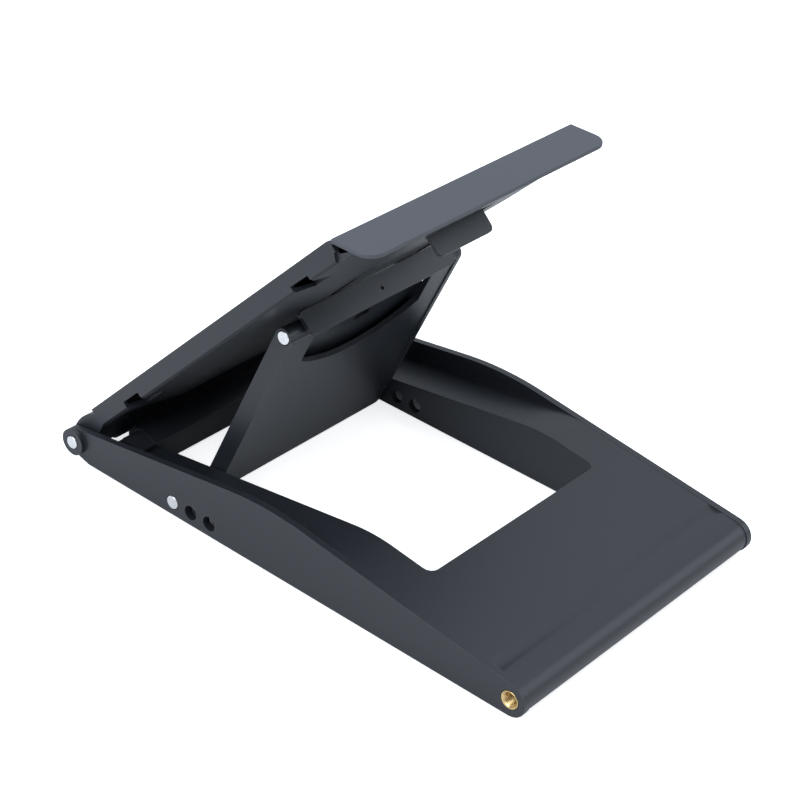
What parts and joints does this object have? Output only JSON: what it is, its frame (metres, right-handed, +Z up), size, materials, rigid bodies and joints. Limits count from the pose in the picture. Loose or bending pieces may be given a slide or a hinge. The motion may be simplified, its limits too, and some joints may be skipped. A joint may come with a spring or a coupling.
{
  "type": "laptop stand",
  "caption": "Folding laptop stand: a tilting tray on a hinged prop strut over an open base frame with a sloping front deck.",
  "frame": {"origin": "centre of the footprint, on the surface that the rubber feet stand on", "axes": "+Z up, +X across the stand to the right seen from its front, -Y towards the front bar, +Y towards the tray hinge"},
  "size_m": [0.1554, 0.2493, 0.1579],
  "materials": {
    "black_paint": "satin black powder coat on a light alloy casting",
    "grip_rubber": "fine-grained soft-touch coating",
    "foot_rubber": "matte moulded rubber",
    "bright_steel": "turned and polished pin ends",
    "brass": "turned brass",
    "black_nylon": "moulded nylon",
    "spring_steel": "dull zinc plate"
  },
  "bodies": {
    "base": {"base_frame": "black_paint", "hinge_pin_left": "bright_steel", "hinge_pin_right": "bright_steel", "hinge_washer_left": "black_nylon", "hinge_washer_right": "black_nylon", "strut_foot_pin_left": "bright_steel", "strut_foot_pin_right": "bright_steel", "front_insert_left": "brass", "front_insert_right": "brass", "rubber_foot_1": "foot_rubber", "rubber_foot_2": "foot_rubber", "rubber_foot_3": "foot_rubber", "rubber_foot_4": "foot_rubber"},
    "tray": {"tray_frame": "black_paint", "tray_top_plate": "black_paint", "tray_grip_pad": "grip_rubber", "front_lip": "grip_rubber", "hinge_bush_left": "black_nylon", "hinge_bush_right": "black_nylon", "guide_rail_left": "black_nylon", "guide_rail_right": "black_nylon", "cover_screw_1": "spring_steel", "cover_screw_2": "spring_steel", "cover_screw_3": "spring_steel", "cover_screw_4": "spring_steel", "catch_spring": "spring_steel"},
    "strut": {"strut_plate": "black_paint", "strut_top_pin": "bright_steel"},
    "carriage": {"slide_plate": "spring_steel", "pivot_bracket": "black_paint", "bracket_screw_1": "spring_steel", "bracket_screw_2": "spring_steel", "bracket_screw_3": "spring_steel", "bracket_screw_4": "spring_steel"},
    "catch": {"release_catch": "black_paint", "brake_pad": "foot_rubber"}
  },
  "joints": [
    {"name": "tray_fold", "type": "hinge", "parent": "base", "child": "tray", "pos_m": [0, 0.11817, 0.0091], "axis": [1, 0, 0], "range_deg": [0, 37]},
    {"name": "strut_swing", "type": "hinge", "parent": "base", "child": "strut", "pos_m": [0, 0.05987, 0.00685], "axis": [1, 0, 0], "range_deg": [0, 57.4]},
    {"name": "bracket_turn", "type": "hinge", "parent": "strut", "child": "carriage", "pos_m": [0, 0.02373, 0.09178], "axis": [1, 0, 0], "range_deg": [-20.4, 0]},
    {"name": "catch_pull", "type": "slide", "parent": "tray", "child": "catch", "axis": [0, -0.6921, 0.7218], "range_m": [0, 0.006], "stiffness_N_per_m": 300}
  ],
  "couplings": [
    {"joint": "strut_swing", "follows": "tray_fold", "ratio": 1.5506},
    {"joint": "bracket_turn", "follows": "tray_fold", "ratio": -0.5506}
  ]
}
